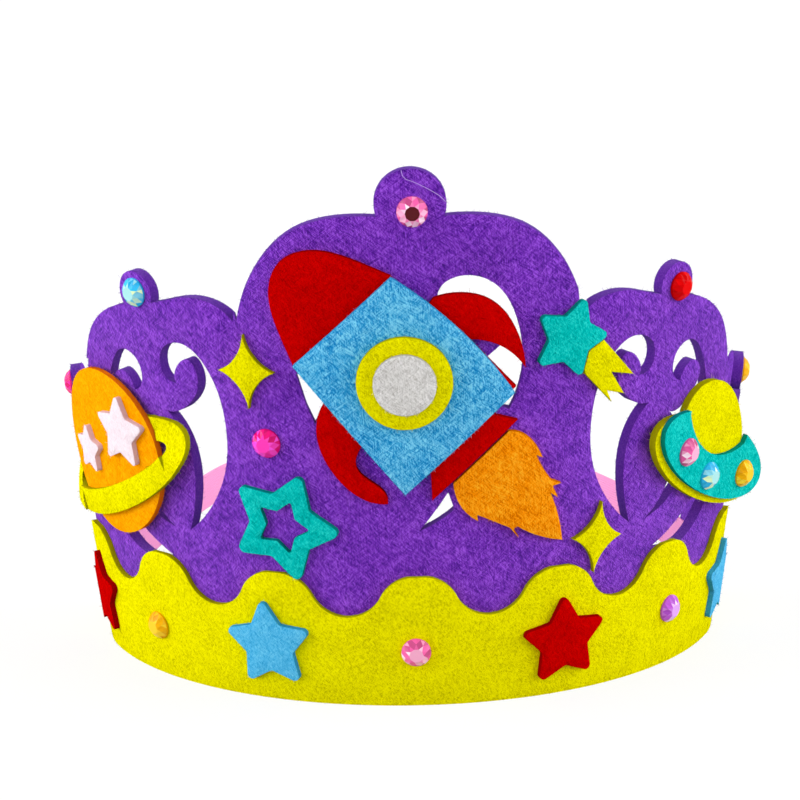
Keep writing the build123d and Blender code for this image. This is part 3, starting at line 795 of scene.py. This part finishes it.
# %% Rays to the strap
low, high = (np.array(corner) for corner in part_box("elastic_strap"))
strap_tree = tree_of("elastic_strap")
hub_share = 0.35
hub = np.array([0, low[1] + hub_share * (high[1] - low[1])])
widest_heading, heading_step = 150, 0.25
headings = np.radians(np.arange(-widest_heading, widest_heading, heading_step))
outside = 400 * MM


def strap_at(height):
    """The strap's inner and outer face at one height, for each heading that meets it."""
    found = {}
    for number, heading in enumerate(headings):
        way = Vector((sin(heading), cos(heading), 0))
        near = Vector((*hub, height))
        inner = strap_tree.ray_cast(near, way)[0]
        outer = strap_tree.ray_cast(near + way * outside, -way)[0]
        if inner is not None and outer is not None:
            found[number] = np.array((inner, outer))
    return found


print("headings", len(headings), "from a hub at y mm", round(hub[1] / MM, 1))

# %% Foot, head and gauge of the strap
height_share = 0.3

lift = height_share * (high[2] - low[2])
half_way = (low[2] + high[2]) / 2
lower, upper = strap_at(half_way - lift), strap_at(half_way + lift)
both = [number for number in sorted(lower) if number in upper]
foot = np.array([lower[number].mean(axis=0) for number in both])
head = np.array([upper[number].mean(axis=0) for number in both])
gauge = np.median([np.linalg.norm(lower[number][1] - lower[number][0]) for number in both])
print("headings that meet the strap", len(both), "gauge mm", round(gauge / MM, 2))

# %% Path
strap_sections = 280
arch_rise = 4.0 * MM
arch_span = 0.6

middle_line = (foot + head) / 2
run = np.concatenate(([0], np.cumsum(np.linalg.norm(np.diff(middle_line, axis=0), axis=1))))
strap_length = run[-1]
spaced = np.linspace(0, strap_length, strap_sections)


def respaced(rows):
    """The rows at even steps along the strap, between the measured ones in a straight line."""
    return np.column_stack([np.interp(spaced, run, column) for column in rows.T])


path, climb = respaced(middle_line), unit(respaced(head - foot))
along = np.clip(spaced / strap_length / arch_span, 0, 1)
path[:, 2] += arch_rise * np.sin(np.pi * along) ** 2
outward = unit(np.cross(climb, np.gradient(path, axis=0)))
strap_width = np.median((high[2] - low[2]) / climb[:, 2])
print("elastic mm", round(strap_width / MM, 1), "by", round(strap_length / MM, 1))

# %% [markdown]
# ## The elastic's ribs
# Rubber cords run along knitted elastic, and the yarn that wraps them shows as fine ridges across. The
# cords are in the mesh: a ribbed outline is carried along the path. The ridges are finer than the
# steps along the path, so they are in the material, as a bump with painted shade in the grooves, and
# each point carries its place on the cords and its run as angles.

# %% Ribbed outline along the path
strap_cords = 14
points_per_cord = 4
cord_valley = 0.84

count = strap_cords * points_per_cord + 1
share = np.linspace(0, 1, count)
swell = cord_valley + (1 - cord_valley) * np.abs(np.sin(np.pi * strap_cords * share))
over = np.concatenate((share, share[::-1])) - 0.5
thick = np.concatenate((swell, -swell[::-1])) * gauge / 2
rise = over[:, None] * strap_width * climb[:, None]
spots = path[:, None] + rise + thick[:, None] * outward[:, None]

loop = 2 * count
here = np.arange(loop)
after = (here + 1) % loop
skin = np.column_stack((here, after, after + loop, here + loop))
faces = (skin[None] + loop * np.arange(strap_sections - 1)[:, None, None]).reshape(-1, 4)
rib = np.arange(count - 1)
cap = np.column_stack((rib, loop - 1 - rib, loop - 2 - rib, rib + 1))
faces = np.concatenate((faces, cap, cap[:, ::-1] + loop * (strap_sections - 1)))
print("points round the elastic", loop, "sections", strap_sections)

# %% Knitted elastic
ridge_pitch = 0.9 * MM
ridge_share = 0.35
ridge_top, groove_floor = 0.9, -0.2

elastic, tree, shader = new_material("pink_knitted_elastic")
cord = add_node(tree, "Attribute", attribute_name="cord").outputs["Fac"]
way = add_node(tree, "Attribute", attribute_name="run").outputs["Fac"]
cord_wave = add_node(tree, "Math", {0: cord}, operation="SINE").outputs[0]
cord_round = add_node(tree, "Math", {0: cord_wave}, operation="ABSOLUTE").outputs[0]
cord_sign = add_node(tree, "Math", {0: cord_wave}, operation="SIGN").outputs[0]
ridge = add_node(tree, "Math", {0: way}, operation="SINE").outputs[0]
wrap = add_node(tree, "Math", {0: ridge, 1: cord_sign}, operation="MULTIPLY").outputs[0]
knit = {0: wrap, 1: ridge_share, 2: cord_round}
relief = add_node(tree, "Math", knit, operation="MULTIPLY_ADD").outputs[0]
# Lower parts of the knit, between ridges and cords, are a darker pink: painted shade
groove_shade = add_node(tree, "MapRange", {0: relief, 1: ridge_top, 2: groove_floor}).outputs[0]
colour_with_painted_shade = add_node(tree, "MixRGB", {0: groove_shade, 1: linear("#F8A0D0"), 2: linear("#F496C8")})
tree.links.new(colour_with_painted_shade.outputs[0], shader.inputs["Base Color"])
bump = add_node(tree, "Bump", {"Height": relief, "Strength": 0.3, "Distance": 0.15 * MM})
tree.links.new(bump.outputs[0], shader.inputs["Normal"])

# Knitted polyester is dull with a weak gloss along the yarn
shader.inputs["Roughness"].default_value = 0.75
shader.inputs["Specular IOR Level"].default_value = 0.2

# %% The elastic in place of its solid
strap = mesh_piece("elastic_knit", spots.reshape(-1, 3), faces, elastic)
cord_angle = np.tile((over + 0.5) * strap_cords * np.pi, strap_sections)
run_angle = np.repeat(spaced * 2 * np.pi / ridge_pitch, loop)
strap.data.attributes.new("cord", "FLOAT", "POINT").data.foreach_set("value", cord_angle)
strap.data.attributes.new("run", "FLOAT", "POINT").data.foreach_set("value", run_angle)
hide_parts("elastic_strap")
print("ridges across the elastic", int(strap_length / ridge_pitch))

# %% [markdown]
# ## One loose fibre
# A single pale fibre lies in a bow over the top knob, beside its stone. A curve object with a bevel
# would do. Here a few points beside the stone are smoothed, laid on the knob's bend and given a thin
# round profile, as the other fibres were.

# %% Path of the loose fibre
# Millimetres to the right of the stone's middle, and up from it
fibre_spots = ((-2.6, 10.6), (-2.3, 9.2), (-1.4, 8.3), (0.4, 7.7), (3.9, 5.9), (6.9, 4.0), (8.5, 2.3))
fibre_steps = 60
smoothing_rounds = 8
fibre_lift = 0.12 * MM

middle, axis, _, _ = seat_of("gem_top")
right, up = seat_axes(axis)
knots = np.linspace(0, 1, len(fibre_spots))
fine = np.linspace(0, 1, fibre_steps)
flat = np.column_stack([np.interp(fine, knots, column) for column in np.array(fibre_spots).T * MM])
for _ in range(smoothing_rounds):
    flat[1:-1] = (flat[:-2] + 2 * flat[1:-1] + flat[2:]) / 4
drop = flat[:, :1] ** 2 / (2 * turn_radius * MM)
path = middle + flat[:, :1] * right + flat[:, 1:] * up + (fibre_lift - drop) * axis
print("loose fibre mm", round(np.linalg.norm(np.diff(path, axis=0), axis=1).sum() / MM, 1))

# %% Loose fibre
fibre_radius = 0.07 * MM
fibre_sides = 6

ahead = unit(np.gradient(path, axis=0))
beside = unit(np.cross(ahead, axis))
raised = np.cross(beside, ahead)
angles = 2 * np.pi * np.arange(fibre_sides)[None, :, None] / fibre_sides
ring = np.cos(angles) * beside[:, None] + np.sin(angles) * raised[:, None]
spots = path[:, None] + fibre_radius * ring
here = np.arange(fibre_sides)
after = (here + 1) % fibre_sides
skin = np.column_stack((here, after, after + fibre_sides, here + fibre_sides))
faces = (skin[None] + fibre_sides * np.arange(fibre_steps - 1)[:, None, None]).reshape(-1, 4)
end_cap = np.array([(0, 1, 2, 3), (0, 3, 4, 5)])
faces = np.concatenate((faces, end_cap[:, ::-1], end_cap + fibre_sides * (fibre_steps - 1)))

# A single smooth fibre of polyester shines a little more than felt does
pale, tree, shader = new_material("pale_polyester_fibre")
shader.inputs["Base Color"].default_value = linear("#C9A4EC")
shader.inputs["Roughness"].default_value = 0.5
mesh_piece("loose_fibre", spots.reshape(-1, 3), faces, pale)
